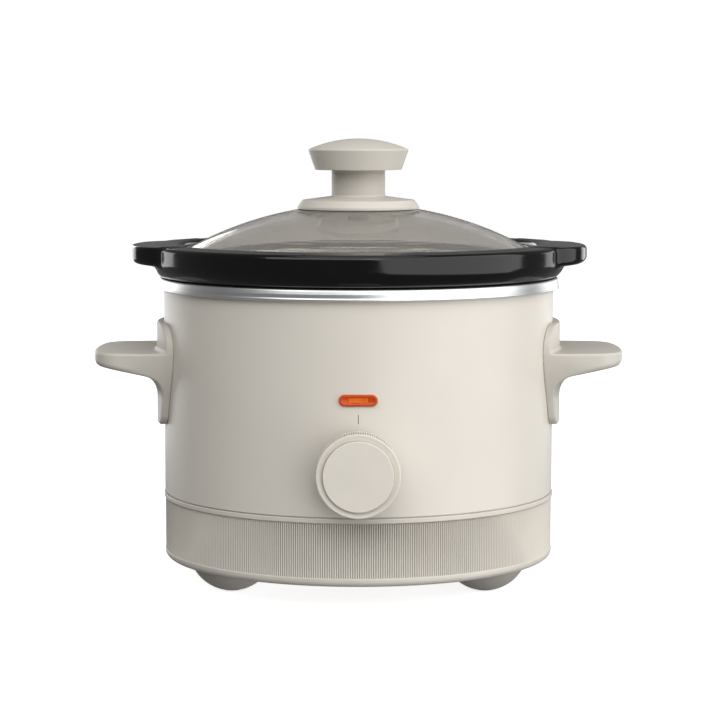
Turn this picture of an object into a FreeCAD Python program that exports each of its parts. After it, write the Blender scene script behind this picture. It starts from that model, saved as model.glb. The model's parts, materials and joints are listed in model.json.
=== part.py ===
"""Round slow cooker: stoneware crock under a glass lid, in a heated steel and plastic base.

Millimetres, +Z up, front (dial and pilot light) towards -Y, side handles along X.
Every solid is built about the cooker's own vertical axis, with the standing surface at Z 0, and
is then moved by AXIS_Y so that the origin is the middle of the whole object's footprint.
"""
import FreeCAD
import Part
import math
import os

V = FreeCAD.Vector
UP = V(0, 0, 1)
OUT = "parts"

# Driving dimensions -----------------------------------------------------------------------------
BODY_R = 95.0              # outer radius of the painted shell
SHELL_T = 0.6
SEAM_Z = 44.0              # joint between shell and base pan
SEAM_GAP = 0.5
BASE_BOTTOM = 12.0         # underside of the base pan
RIM_R = 98.0               # rolled rim of the heating liner
RIM_TOP = 148.4
RIM_BOTTOM = 142.8
CROCK_RIM_R = 100.8
CROCK_TOP = 164.7          # crest of the crock's rim
CLEAR = 0.3                # gap between bodies that lift apart

# Base pan
PAN_WALL = 2.4
PAN_FLOOR = 2.4
PAN_EDGE = 3.0             # radius of the lower outside edge
PAN_LIP = 2.2              # plain band above the fluted band
PAN_LIP_R = BODY_R + 0.35
FLUTE_BOTTOM = 15.8
FLUTE_R = BODY_R - 0.1
PAN_SPIGOT_TOP = SEAM_Z + 4.0

# Feet: three domes, two of them in front
FOOT_CIRCLE_R = 70.0
FOOT_SPHERE_R = 21.0
FOOT_SPHERE_Z = 20.6
FOOT_PAD_TOP = 0.9
FOOT_WALL = 2.4
FOOT_ANGLES = {"front_left": 210.0, "front_right": 330.0, "rear": 90.0}

# Heating liner and the pot that stands in it
LINER_T = 0.8
LINER_TOP_R = 79.2
LINER_LOW_R = 77.0
LINER_FLOOR = 44.2
LINER_CORNER = 14.0
POT_TOP_R = 77.4           # outside of the crock, just under its rim
POT_LOW_R = 72.8
POT_WALL = 5.8
POT_BOTTOM = LINER_FLOOR + 0.8
POT_FLOOR_T = 7.0
POT_CORNER = 16.0
CROCK_UNDER = RIM_TOP + CLEAR + 0.05
LEDGE_Z = 155.2            # shelf that the lid rests on
LEDGE_R = 87.4
CREST_R = 92.0             # outside this radius the rim's top falls away
RIM_SHOULDER_Z = 163.9     # where the falling top meets the rim's round edge
RIM_EDGE = 2.4
RIM_WALL_LOW = 156.2       # foot of the rim's upright wall; below it the rim curves inwards
RIM_BELLY = (99.4, 152.0)
RIM_FOOT_R = 96.2
LUG_REACH = 111.3
LUG_TOP = 164.1
LUG_ROOT_R = 93.0          # the lugs start inside the rim
LUG_TIP = (104.5, 32.0)    # where a lug's straight side ends: X, and half the width there
LUG_FLARE = 0.45           # growth of the half width per millimetre towards the rim
LUG_UNDER = ((80.0, 153.6), (115.0, 156.4))     # two points on the sloping underside: X, Z
LUG_CORNER = 7.0
LUG_TOP_EDGE = 2.0
LUG_LOW_EDGE = 3.0

# Lid
GLASS_SPHERE_R = 172.0
GLASS_SPHERE_Z = 11.66
GLASS_T = 3.5
GLASS_EDGE_R = 84.2
BAND_R = 85.9
BAND_T = 0.5
BAND_LEG_R = 82.8          # inner edge of the band's top leg
BAND_SKIRT_R = 81.4
NECK_R = 13.1
CAP_R = 24.6
CAP_LOW_R = 21.1
CAP_BOTTOM = 200.3
CAP_EDGE_Z = 210.2
CAP_TOP = 215.5
COLLAR_R = 29.7
COLLAR_TOP = 187.4
COLLAR_BRIM_R = 27.0       # top of the collar's sloping edge
COLLAR_BRIM_Z = 185.5
COLLAR_BORE_R = 11.0
GASKET_R = (26.9, 28.8)
GASKET_T = 0.4
WASHER_R = 15.4
WASHER_LOW = 178.3
LID_SCREW_R = 2.0

# Dial, switch and pilot light
DIAL_Z = 65.5
DIAL_R = 19.2
DIAL_BACK = 98.2           # distance of the dial's back edge from the cooker's axis
DIAL_RING = 111.2
DIAL_FACE = 112.8
DIAL_FACE_R = 16.1
SHAFT_R = 3.0
SHAFT_FLAT = 2.2
SWITCH_SIZE = 24.0
SWITCH_FRONT = 90.8
SWITCH_BACK = 81.4
TERMINAL_L = 6.5
LENS_Z = 98.0
LENS_L = 17.7
LENS_H = 5.4
LENS_PROUD = 1.1

# Side handles
HANDLE_REACH = 128.7
HANDLE_SKIN = 3.5          # thickness of the saddle that lies on the shell
WING_TOP = 113.6
WING_HALF = 34.0
WING_TIP_X = 124.4         # where the wing's straight sides end
WING_TAPER = 0.1           # growth of the half width per millimetre towards the shell
WING_CORNER = 9.0
WING_TOP_EDGE = 1.2
WING_LOW_EDGE = 2.6
SADDLE_TOP = 127.3
SADDLE_BOTTOM = 77.8
SADDLE_HALF = 37.0
SADDLE_LOW_HALF = 25.6
SADDLE_WAIST_Z = 109.0     # below this the saddle narrows
HANDLE_SCREWS = ((88.0, 2.2), (108.5, 10.0))     # height, and depth beyond the shell

# Rear cord gland
GLAND_Z = 60.0
GLAND_BORE_R = 3.6
GLAND_FLANGE_R = 8.5

# Heater band
HEATER_R = 80.3
HEATER_T = 2.0
HEATER_Z = (86.0, 124.0)
HEATER_GAP = 8.0           # half of the gap at the back, degrees

AXIS_Y = (DIAL_FACE - CROCK_RIM_R) / 2.0

made = {}


# Helpers ----------------------------------------------------------------------------------------
def keep(name, *solids):
    """Records a sub-part, moved from the cooker's axis into the row frame."""
    moved = []
    for solid in solids:
        for piece in solid.Solids:
            copy = piece.copy()
            copy.translate(V(0, AXIS_Y, 0))
            moved.append(copy)
    made[name] = moved[0] if len(moved) == 1 else Part.makeCompound(moved)


def outline(points, place):
    """A closed wire. A point is (a, b); a point given as (a, b, "arc") is the middle of an arc."""
    edges = []
    count = len(points)
    corners = [i for i in range(count) if len(points[i]) == 2]
    for n, i in enumerate(corners):
        j = corners[(n + 1) % len(corners)]
        start, end = place(*points[i][:2]), place(*points[j][:2])
        if (i + 1) % count != j:
            middle = place(*points[(i + 1) % count][:2])
            edges.append(Part.Arc(start, middle, end).toShape())
        else:
            edges.append(Part.LineSegment(start, end).toShape())
    return Part.Wire(edges)


def turned(points):
    """A solid of revolution about the cooker's axis, from (radius, height) points."""
    face = Part.Face(outline(points, lambda r, z: V(r, 0, z)))
    return face.revolve(V(0, 0, 0), UP, 360)


def slab(points, place, depth):
    """An outline swept straight along the vector depth."""
    return Part.Face(outline(points, place)).extrude(depth)


def rod(radius, start, end):
    """A plain cylinder from one point to another."""
    along = end - start
    return Part.makeCylinder(radius, along.Length, start, along)


def ring(outer, inner, low, high):
    tube = Part.makeCylinder(outer, high - low, V(0, 0, low))
    return tube.cut(Part.makeCylinder(inner, high - low, V(0, 0, low)))


def block(low, high):
    size = V(*high) - V(*low)
    return Part.makeBox(size.x, size.y, size.z, V(*low))


def polar(radius, angle, z=0.0):
    """A point at an angle in degrees: 0 is +X, 90 is the rear, 270 is the front."""
    a = math.radians(angle)
    return V(radius * math.cos(a), radius * math.sin(a), z)


def spun(solid, angle):
    copy = solid.copy()
    copy.rotate(V(0, 0, 0), UP, angle)
    return copy


def mirrored(solid):
    """The same piece on the other side, left for right."""
    return solid.mirror(V(0, 0, 0), V(1, 0, 0))


def sphere_height(r, radius, centre):
    return centre + math.sqrt(radius * radius - r * r)


def bend_radius(before, corner, after):
    """The largest neat bend at a corner of a lead: 0.45 of its shorter run, by half the turn."""
    a, b = corner - before, after - corner
    turn = a.getAngle(b)
    return 0.45 * min(a.Length, b.Length) / math.tan(turn / 2.0)


def lead(points, radius):
    """A round wire along straight runs joined by tangent arcs."""
    edges, last = [], points[0]
    for before, corner, after in zip(points, points[1:], points[2:]):
        a, b = (corner - before).normalize(), (after - corner).normalize()
        turn = a.getAngle(b)
        bend = bend_radius(before, corner, after)
        back = bend * math.tan(turn / 2.0)
        enter, leave = corner - a * back, corner + b * back
        inward = (b - a).normalize()
        middle = corner + inward * (bend / math.cos(turn / 2.0) - bend)
        edges.append(Part.LineSegment(last, enter).toShape())
        edges.append(Part.Arc(enter, middle, leave).toShape())
        last = leave
    edges.append(Part.LineSegment(last, points[-1]).toShape())
    path = Part.Wire(edges)
    section = Part.Wire(Part.makeCircle(radius, points[0], points[1] - points[0]))
    return path.makePipeShell([section], True, True)


def pan_screw(head_r, head_t, shank_r, under, tip):
    """A screw whose head bears at the point under; its shank runs on to the point tip."""
    along = (tip - under).normalize()
    head = rod(head_r, under - along * head_t, under)
    slot = head_r * 0.35
    socket = rod(slot, under - along * head_t, under - along * head_t * 0.5)
    return head.fuse(rod(shank_r, under, tip)).cut(socket).removeSplitter()


# Base -------------------------------------------------------------------------------------------
def base_pan():
    edge, corner = PAN_EDGE, PAN_EDGE * (1.0 - math.sqrt(0.5))
    inner = BODY_R - PAN_WALL
    floor = BASE_BOTTOM + PAN_FLOOR
    lip_top = SEAM_Z - SEAM_GAP / 2.0
    spigot_r = BODY_R - SHELL_T - 0.2
    pan = turned([
        (0, BASE_BOTTOM), (BODY_R - edge, BASE_BOTTOM),
        (BODY_R - corner, BASE_BOTTOM + corner, "arc"), (BODY_R, BASE_BOTTOM + edge),
        (BODY_R, FLUTE_BOTTOM), (FLUTE_R, FLUTE_BOTTOM), (FLUTE_R, lip_top - PAN_LIP),
        (PAN_LIP_R, lip_top - PAN_LIP), (PAN_LIP_R, lip_top),
        (spigot_r, lip_top), (spigot_r, PAN_SPIGOT_TOP), (inner, PAN_SPIGOT_TOP),
        (inner, floor), (0, floor),
    ])
    # The tie bolt's boss: a pocket for the nut underneath, a hollow column above it.
    pan = pan.fuse(Part.makeCylinder(10.0, 26.0, V(0, 0, BASE_BOTTOM)))
    pan = pan.cut(Part.makeCylinder(8.0, 6.0, V(0, 0, BASE_BOTTOM)))
    pan = pan.cut(Part.makeCylinder(7.0, 20.0, V(0, 0, BASE_BOTTOM + 8.4)))
    pan = pan.cut(Part.makeCylinder(2.8, 30.0, V(0, 0, BASE_BOTTOM)))
    for angle in FOOT_ANGLES.values():
        at = polar(FOOT_CIRCLE_R, angle, BASE_BOTTOM)
        pan = pan.cut(Part.makeCylinder(1.8, PAN_FLOOR, at))
    # Vent slots in the floor, in three fans between the feet.
    for fan in (30.0, 150.0, 270.0):
        for step in (-2, -1, 0, 1, 2):
            slot = block((34, -1.2, BASE_BOTTOM), (58, 1.2, floor))
            pan = pan.cut(spun(slot, fan + 9.0 * step))
    keep("base_pan", pan.removeSplitter())


def feet():
    for name, angle in FOOT_ANGLES.items():
        at = polar(FOOT_CIRCLE_R, angle)
        centre = at + V(0, 0, FOOT_SPHERE_Z)
        inside = FOOT_SPHERE_R - FOOT_WALL
        ball = Part.makeSphere(FOOT_SPHERE_R, centre)
        hollow = Part.makeSphere(inside, centre)
        band = Part.makeCylinder(40, BASE_BOTTOM - FOOT_PAD_TOP, at + V(0, 0, FOOT_PAD_TOP))
        core = Part.makeCylinder(40, BASE_BOTTOM - 3.6, at + V(0, 0, 3.6))
        post = Part.makeCylinder(5.0, BASE_BOTTOM - 2.0, at + V(0, 0, 2.0))
        shell = ball.common(band).cut(hollow.common(core))
        shell = shell.fuse(post.common(band))
        shell = shell.cut(Part.makeCylinder(1.3, 6.0, at + V(0, 0, BASE_BOTTOM - 6.0)))
        shell = shell.cut(Part.makeCylinder(3.6, 1.5, at + V(0, 0, FOOT_PAD_TOP)))
        keep("foot_" + name, shell.removeSplitter())
        slice_ = Part.makeCylinder(40, FOOT_PAD_TOP, at)
        pad = ball.common(slice_).fuse(Part.makeCylinder(3.5, FOOT_PAD_TOP + 1.4, at))
        keep("foot_pad_" + name, pad.removeSplitter())
    floor = BASE_BOTTOM + PAN_FLOOR
    keep("foot_screws", *[
        pan_screw(3.2, 2.0, 1.25, polar(FOOT_CIRCLE_R, a, floor), polar(FOOT_CIRCLE_R, a, 6.6))
        for a in FOOT_ANGLES.values()])


def outer_shell():
    low = SEAM_Z + SEAM_GAP / 2.0
    high = RIM_TOP - 1.2
    shell = ring(BODY_R, BODY_R - SHELL_T, low, high)
    shell = shell.cut(rod(6.2, V(0, 0, DIAL_Z), V(0, -120, DIAL_Z)))
    for x in (-13.5, 13.5):
        shell = shell.cut(rod(1.7, V(x, 0, DIAL_Z), V(x, -120, DIAL_Z)))
    shell = shell.cut(stadium(LENS_L + 0.2, LENS_H + 0.2, LENS_Z, 60, 120))
    for side in (-1, 1):
        for z, _ in HANDLE_SCREWS:
            shell = shell.cut(rod(2.2, V(0, 0, z), V(side * 120, 0, z)))
    shell = shell.cut(rod(6.1, V(0, 0, GLAND_Z), V(0, 120, GLAND_Z)))
    keep("outer_shell", shell)


def heating_liner():
    """A drawn aluminium pot. Its rim rolls out over the top of the shell and grips it."""
    t = LINER_T
    bend = LINER_CORNER * (1.0 - math.sqrt(0.5))
    low = LINER_FLOOR
    roll = 2.0
    tuck = roll * (1.0 - math.sqrt(0.5))
    liner = turned([
        (0, low), (LINER_LOW_R - LINER_CORNER, low),
        (LINER_LOW_R - bend, low + bend, "arc"), (LINER_LOW_R, low + LINER_CORNER),
        (LINER_TOP_R, RIM_TOP),
        (RIM_R - roll, RIM_TOP), (RIM_R - tuck, RIM_TOP - tuck, "arc"), (RIM_R, RIM_TOP - roll),
        (RIM_R, RIM_BOTTOM + 1.0), (RIM_R - 0.4, RIM_BOTTOM + 0.2, "arc"),
        (RIM_R - 1.3, RIM_BOTTOM), (BODY_R + 0.1, RIM_BOTTOM),
        (BODY_R + 0.1, RIM_BOTTOM + t), (RIM_R - 1.6, RIM_BOTTOM + t),
        (RIM_R - t, RIM_BOTTOM + 1.7), (RIM_R - t, RIM_TOP - roll),
        (RIM_R - roll, RIM_TOP - t), (LINER_TOP_R + t, RIM_TOP - t),
        (LINER_LOW_R + t, low + LINER_CORNER),
        (LINER_LOW_R + t - bend, low - t + bend, "arc"),
        (LINER_LOW_R - LINER_CORNER + t, low - t), (0, low - t),
    ])
    keep("heating_liner", liner)


def tie_bolt():
    """A stud welded under the liner pulls liner, shell and base pan together with one nut."""
    top = LINER_FLOOR - LINER_T
    seat = BASE_BOTTOM + 6.0
    plate = Part.makeCylinder(14.0, 1.5, V(0, 0, top - 1.5))
    stud = Part.makeCylinder(2.5, top - 1.5 - 12.8, V(0, 0, 12.8))
    keep("tie_stud", plate.fuse(stud).removeSplitter())
    washer = Part.makeCylinder(7.0, 1.0, V(0, 0, seat - 1.0))
    keep("tie_washer", washer.cut(Part.makeCylinder(2.7, 1.0, V(0, 0, seat - 1.0))))
    nut_low = seat - 5.0
    corners = [polar(4.6, 60.0 * n, nut_low) for n in range(6)]
    nut = Part.Face(Part.makePolygon(corners + corners[:1])).extrude(V(0, 0, 4.0))
    keep("tie_nut", nut.cut(Part.makeCylinder(2.55, 4.0, V(0, 0, nut_low))))


def heater():
    low, high = HEATER_Z
    outer = HEATER_R + HEATER_T
    band = ring(outer, HEATER_R, low, high)
    reach = outer * math.tan(math.radians(HEATER_GAP))
    band = band.cut(block((-reach, 0, low), (reach, 100, high)))
    lugs = []
    for side in (-1, 1):
        a, b = side * reach, side * (reach + 1.2)
        lug = block((min(a, b), HEATER_R + 0.6, low), (max(a, b), HEATER_R + 9.0, high))
        lugs.append(lug)
    band = band.fuse(lugs).removeSplitter()
    screws = []
    bolt_y = HEATER_R + 5.2
    for z in (low + 8.0, high - 8.0):
        band = band.cut(rod(1.7, V(-reach - 6, bolt_y, z), V(reach + 6, bolt_y, z)))
        start = V(reach + 1.2, bolt_y, z)
        bolt = pan_screw(3.0, 2.2, 1.5, start, V(-reach - 5.0, bolt_y, z))
        screws.append(bolt)
        nut = rod(3.0, V(-reach - 3.8, bolt_y, z), V(-reach - 1.2, bolt_y, z))
        screws.append(nut.cut(rod(1.55, V(-reach - 4, bolt_y, z), V(-reach - 1, bolt_y, z))))
    keep("heater_band", band)
    keep("heater_clamp_screws", *screws)


def thermal_fuse():
    """A one-shot fuse held against the liner wall by a spring clip."""
    z, angle = 66.0, 130.0
    wall = LINER_TOP_R + LINER_T
    spot = wall + 2.6
    side = polar(1.0, angle + 90.0)
    middle = polar(spot, angle, z)
    body = rod(2.0, middle - side * 6.0, middle + side * 6.0)
    tails = rod(0.5, middle - side * 9.0, middle + side * 9.0)
    keep("thermal_fuse", body.fuse(tails).removeSplitter())
    clip = ring(3.0, 2.15, -3.0, 3.0).cut(block((-6, -6, -3), (-2.0, 6, 3)))
    clip = clip.fuse(block((-2.0, 2.15, -3), (-1.2, 9.0, 3))).removeSplitter()
    clip.rotate(V(0, 0, 0), V(1, 0, 0), 90)
    clip.rotate(V(0, 0, 0), UP, angle)
    clip.translate(middle)
    keep("fuse_clip", clip)


def cord_gland():
    """Bush in the rear wall that the supply cord would pass through."""
    inner_r = BODY_R - SHELL_T
    start, end = V(0, inner_r - 4.0, GLAND_Z), V(0, BODY_R + 3.5, GLAND_Z)
    flange = rod(GLAND_FLANGE_R, V(0, BODY_R - 2.0, GLAND_Z), end)
    flange = flange.cut(Part.makeCylinder(BODY_R + 0.05, 60, V(0, 0, GLAND_Z - 30)))
    edges = [e for e in flange.Edges if abs(e.BoundBox.YMin - end.y) < 1e-3
             and abs(e.BoundBox.YMax - end.y) < 1e-3]
    flange = flange.makeFillet(1.2, edges)
    neck = rod(5.9, start, V(0, BODY_R + 1.0, GLAND_Z))
    catch = rod(7.2, start, start + V(0, 2.4, 0))
    gland = flange.fuse([neck, catch]).cut(rod(GLAND_BORE_R, start, end))
    keep("cord_gland", gland.removeSplitter())


def stadium(length, height, z, near, far):
    """A bar with round ends that lies along X and reaches from near to far towards the front."""
    r, half = height / 2.0, (length - height) / 2.0
    points = [(-half, z - r), (half, z - r), (half + r, z, "arc"), (half, z + r), (-half, z + r),
              (-half - r, z, "arc")]
    return slab(points, lambda x, h: V(x, -near, h), V(0, near - far, 0))


def pilot_light():
    inner_r = BODY_R - SHELL_T
    front = BODY_R + LENS_PROUD
    lens = stadium(LENS_L, LENS_H, LENS_Z, inner_r - 2.6, front)
    edges = [e for e in lens.Edges if e.BoundBox.YMax < -front + 1e-3]
    lens = lens.makeFillet(0.8, edges)
    flange = stadium(LENS_L + 3.0, LENS_H + 3.0, LENS_Z, inner_r - 2.6, inner_r)
    barrel = Part.makeCylinder(inner_r - 0.05, 40, V(0, 0, LENS_Z - 20))
    lens = lens.fuse(flange.common(barrel)).removeSplitter()
    pocket = stadium(LENS_L - 3.0, LENS_H - 2.4, LENS_Z, inner_r - 2.6, front - 1.6)
    keep("pilot_lens", lens.cut(pocket))
    lamp_y = inner_r - 5.6
    bulb = rod(2.4, V(-5.0, -lamp_y, LENS_Z), V(5.0, -lamp_y, LENS_Z))
    tip = Part.makeSphere(2.4, V(-5.0, -lamp_y, LENS_Z))
    keep("neon_lamp", bulb.fuse(tip).removeSplitter())
    back, mouth = lamp_y - 3.6, inner_r - 2.7
    holder = block((-10.0, -mouth, LENS_Z - 4.4), (10.0, -back, LENS_Z + 4.4))
    room = block((-8.6, -mouth, LENS_Z - 3.2), (8.6, -back - 1.0, LENS_Z + 3.2))
    notch = rod(2.5, V(4.0, -lamp_y, LENS_Z), V(12.0, -lamp_y, LENS_Z))
    keep("lamp_holder", holder.cut(room).cut(notch))


def rotary_switch():
    """The four-position switch, its moulded mount behind the shell, and their screws."""
    half = SWITCH_SIZE / 2.0
    inner_r = BODY_R - SHELL_T
    mount = block((-20, -inner_r, DIAL_Z - 13), (20, -SWITCH_FRONT, DIAL_Z + 13))
    mount = mount.common(Part.makeCylinder(inner_r - 0.05, 60, V(0, 0, DIAL_Z - 30)))
    mount = mount.cut(rod(5.2, V(0, -80, DIAL_Z), V(0, -100, DIAL_Z)))
    screws = []
    for x in (-13.5, 13.5):
        face_y = -math.sqrt(BODY_R ** 2 - 11.0 ** 2)
        mount = mount.cut(rod(1.35, V(x, -80, DIAL_Z), V(x, -100, DIAL_Z)))
        screws.append(pan_screw(2.7, 1.6, 1.3, V(x, face_y, DIAL_Z), V(x, -91.0, DIAL_Z)))
    keep("switch_mount", mount)
    keep("switch_mount_screws", *screws)
    body = block((-half, -SWITCH_FRONT, DIAL_Z - half), (half, -SWITCH_BACK, DIAL_Z + half))
    upright = [e for e in body.Edges if e.BoundBox.YLength > 5]
    body = body.makeFillet(3.0, upright)
    body = body.cut(rod(9.4, V(0, -SWITCH_FRONT + 1.6, DIAL_Z), V(0, -SWITCH_BACK - 1.4, DIAL_Z)))
    bush = rod(5.0, V(0, -SWITCH_FRONT, DIAL_Z), V(0, -BODY_R - 1.4, DIAL_Z))
    body = body.fuse(bush).cut(rod(SHAFT_R + 0.1, V(0, -88, DIAL_Z), V(0, -100, DIAL_Z)))
    keep("rotary_switch", body.removeSplitter())
    tabs = []
    for x in (-7.5, -2.5, 2.5, 7.5):
        low = DIAL_Z - half
        tabs.append(block((x - 1.4, -86.4, low - TERMINAL_L), (x + 1.4, -85.6, low)))
    keep("switch_terminals", *tabs)


def dial():
    ring_y, back_y = DIAL_RING, DIAL_BACK
    knob = rod(DIAL_R, V(0, -back_y, DIAL_Z), V(0, -ring_y, DIAL_Z))
    rim = [e for e in knob.Edges if abs(e.BoundBox.YMin + ring_y) < 0.01
           and e.BoundBox.YLength < 0.01]
    knob = knob.makeFillet(0.7, rim)
    knob = knob.cut(rod(DIAL_R - 2.0, V(0, -back_y, DIAL_Z), V(0, -ring_y + 3.6, DIAL_Z)))
    knob = knob.fuse(rod(6.2, V(0, -back_y - 1.4, DIAL_Z), V(0, -ring_y + 3.0, DIAL_Z)))
    knob = knob.cut(rod(DIAL_FACE_R + 0.1, V(0, -ring_y + 1.4, DIAL_Z), V(0, -ring_y, DIAL_Z)))
    knob = knob.cut(shaft_form(SHAFT_R + 0.06, SHAFT_FLAT + 0.06, 90.0, ring_y - 3.0))
    keep("dial_knob", knob.removeSplitter())
    face = rod(DIAL_FACE_R, V(0, -ring_y + 1.4, DIAL_Z), V(0, -DIAL_FACE, DIAL_Z))
    rim = [e for e in face.Edges if abs(e.BoundBox.YMin + DIAL_FACE) < 0.01
           and e.BoundBox.YLength < 0.01]
    keep("dial_face", face.makeFillet(0.5, rim))
    shaft = shaft_form(SHAFT_R, SHAFT_FLAT, 84.4, ring_y - 3.4)
    rotor = rod(8.8, V(0, -84.4, DIAL_Z), V(0, -87.6, DIAL_Z))
    for angle in (0, 90, 180, 270):
        nub = V(math.cos(math.radians(angle)), 0, math.sin(math.radians(angle))) * 9.2
        at = V(nub.x, 0, DIAL_Z + nub.z)
        rotor = rotor.cut(rod(1.3, at + V(0, -84, 0), at + V(0, -88, 0)))
    keep("switch_shaft", shaft)
    keep("switch_rotor", rotor.cut(rod(SHAFT_R, V(0, -84, DIAL_Z), V(0, -88, DIAL_Z))))


def shaft_form(radius, flat, near, far):
    """A D-shaped shaft, round where it turns in the switch and flat on top inside the dial."""
    shaft = rod(radius, V(0, -near, DIAL_Z), V(0, -far, DIAL_Z))
    return shaft.cut(block((-9, -far, DIAL_Z + flat), (9, -BODY_R - 2.0, DIAL_Z + 9)))


# Side handles -----------------------------------------------------------------------------------
def side_handles():
    handle = saddle().fuse(wing()).removeSplitter()
    handle = handle.cut(Part.makeCylinder(BODY_R + 0.05, 120, V(0, 0, 40)))
    screws = []
    for z, depth in HANDLE_SCREWS:
        handle = handle.cut(rod(1.3, V(80, 0, z), V(BODY_R + depth + 0.4, 0, z)))
        screw = pan_screw(3.4, 2.0, 1.25, V(BODY_R - SHELL_T - 0.08, 0, z), V(BODY_R + depth, 0, z))
        screws += [screw, mirrored(screw)]
    keep("right_handle", handle)
    keep("left_handle", mirrored(handle))
    keep("handle_screws", *screws)


def saddle_form():
    """The saddle's outline as a bar along X."""
    low, high, half, waist = SADDLE_BOTTOM, SADDLE_TOP, SADDLE_HALF, SADDLE_WAIST_Z
    bar = slab([(-SADDLE_LOW_HALF, low), (SADDLE_LOW_HALF, low), (half, waist), (half, high),
                (-half, high), (-half, waist)],
               lambda y, z: V(70, y, z), V(80, 0, 0))
    for level, radius in ((low, 5.0), (waist, 14.0), (high, 12.5)):
        corners = [e for e in bar.Edges if e.BoundBox.XLength > 50
                   and abs(e.CenterOfMass.z - level) < 1.0 and abs(e.CenterOfMass.y) > 18]
        bar = bar.makeFillet(radius, corners)
    return bar


def saddle():
    """The thin plate of a handle that lies on the shell."""
    skin = BODY_R + HANDLE_SKIN
    plate = saddle_form().common(Part.makeCylinder(skin, 100, V(0, 0, 60)))
    edge = [e for e in plate.Edges
            if all(abs(math.hypot(v.Point.x, v.Point.y) - skin) < 0.01 for v in e.Vertexes)]
    return plate.makeFillet(1.0, edge)


def wing():
    """The ledge of a handle that the fingers hook under."""
    half, low, tip, start = WING_HALF, 92.0, WING_TIP_X, 80.0
    wide = half + WING_TAPER * (tip - start)
    plan = slab([(start, -wide), (tip, -half), (HANDLE_REACH, 0, "arc"), (tip, half), (start, wide)],
                lambda x, y: V(x, y, low), V(0, 0, WING_TOP - low))
    corners = [e for e in plan.Edges if e.BoundBox.ZLength > 5 and e.CenterOfMass.x > 100]
    plan = plan.makeFillet(WING_CORNER, corners)
    skin = BODY_R + HANDLE_SKIN - 0.05
    under = turned([
        (skin, low - 10), (skin, 93.7), (100.34, 99.04, "arc"), (105.16, 102.0),
        (140.0, 109.5), (140.0, low - 10),
    ])
    plan = plan.cut(under)
    top = [e for e in rims(plan, 81) if e.BoundBox.ZMin > WING_TOP - 0.01]
    plan = plan.makeFillet(WING_TOP_EDGE, top)
    below = [e for e in rims(plan, 100) if e.BoundBox.ZMax < WING_TOP - WING_TOP_EDGE - 0.1]
    return plan.makeFillet(WING_LOW_EDGE, below).common(saddle_form())


# Crock ------------------------------------------------------------------------------------------
def crock():
    bend_out = POT_CORNER * (1.0 - math.sqrt(0.5))
    inner_floor = POT_BOTTOM + POT_FLOOR_T
    in_top, in_low = POT_TOP_R - POT_WALL, POT_LOW_R - POT_WALL
    bend_in = (POT_CORNER - 2.0) * (1.0 - math.sqrt(0.5))
    nip = RIM_EDGE * (1.0 - math.sqrt(0.5))
    pot = turned([
        (0, POT_BOTTOM + 1.2), (46, POT_BOTTOM + 1.2), (48, POT_BOTTOM),
        (POT_LOW_R - POT_CORNER, POT_BOTTOM),
        (POT_LOW_R - bend_out, POT_BOTTOM + bend_out, "arc"), (POT_LOW_R, POT_BOTTOM + POT_CORNER),
        (POT_TOP_R, CROCK_UNDER - 2.0), (POT_TOP_R + 0.6, CROCK_UNDER - 0.6, "arc"),
        (POT_TOP_R + 2.0, CROCK_UNDER),
        (RIM_FOOT_R, CROCK_UNDER), (*RIM_BELLY, "arc"), (CROCK_RIM_R, RIM_WALL_LOW),
        (CROCK_RIM_R, RIM_SHOULDER_Z - RIM_EDGE),
        (CROCK_RIM_R - nip, RIM_SHOULDER_Z - nip, "arc"), (CROCK_RIM_R - RIM_EDGE, RIM_SHOULDER_Z),
        (CREST_R, CROCK_TOP), (LEDGE_R + 2.2, CROCK_TOP),
        (LEDGE_R + 0.64, CROCK_TOP - 0.64, "arc"), (LEDGE_R, CROCK_TOP - 2.2),
        (LEDGE_R, LEDGE_Z + 1.0), (LEDGE_R - 0.3, LEDGE_Z + 0.3, "arc"), (LEDGE_R - 1.0, LEDGE_Z),
        (in_top + 4.0, LEDGE_Z), (in_top + 1.17, LEDGE_Z - 1.17, "arc"), (in_top, LEDGE_Z - 4.0),
        (in_low, inner_floor + POT_CORNER - 2.0),
        (in_low - bend_in, inner_floor + bend_in, "arc"),
        (in_low - POT_CORNER + 2.0, inner_floor), (0, inner_floor),
    ])
    for lug in (crock_lug(), mirrored(crock_lug())):
        pot = pot.fuse(lug)
    keep("crock", pot.removeSplitter())


def crock_lug():
    """One lifting lug: a thick tongue that narrows outwards, with full round edges."""
    start = LUG_UNDER[0][0]
    tip, half = LUG_TIP
    wide = half + (tip - start) * LUG_FLARE
    tongue = slab([(start, -wide), (tip, -half), (LUG_REACH, 0, "arc"), (tip, half), (start, wide)],
                  lambda x, y: V(x, y, 140.0), V(0, 0, LUG_TOP - 140.0))
    corners = [e for e in tongue.Edges if e.BoundBox.ZLength > 5 and e.CenterOfMass.x > start + 1]
    tongue = tongue.makeFillet(LUG_CORNER, corners)
    (near, near_z), (far, far_z) = LUG_UNDER
    under = slab([(near - 1, 130.0), (far, 130.0), (far, far_z), (near, near_z), (near - 1, near_z)],
                 lambda x, z: V(x, -60, z), V(0, 120, 0))
    tongue = tongue.cut(under)
    top = [e for e in rims(tongue, start + 1) if e.BoundBox.ZMin > LUG_TOP - 0.01]
    tongue = tongue.makeFillet(LUG_TOP_EDGE, top)
    below = [e for e in rims(tongue, start + 1) if e.BoundBox.ZMax < LUG_TOP - LUG_TOP_EDGE - 1.0]
    tongue = tongue.makeFillet(LUG_LOW_EDGE, below)
    return tongue.cut(Part.makeCylinder(LUG_ROOT_R, 60.0, V(0, 0, 130.0)))


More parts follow.
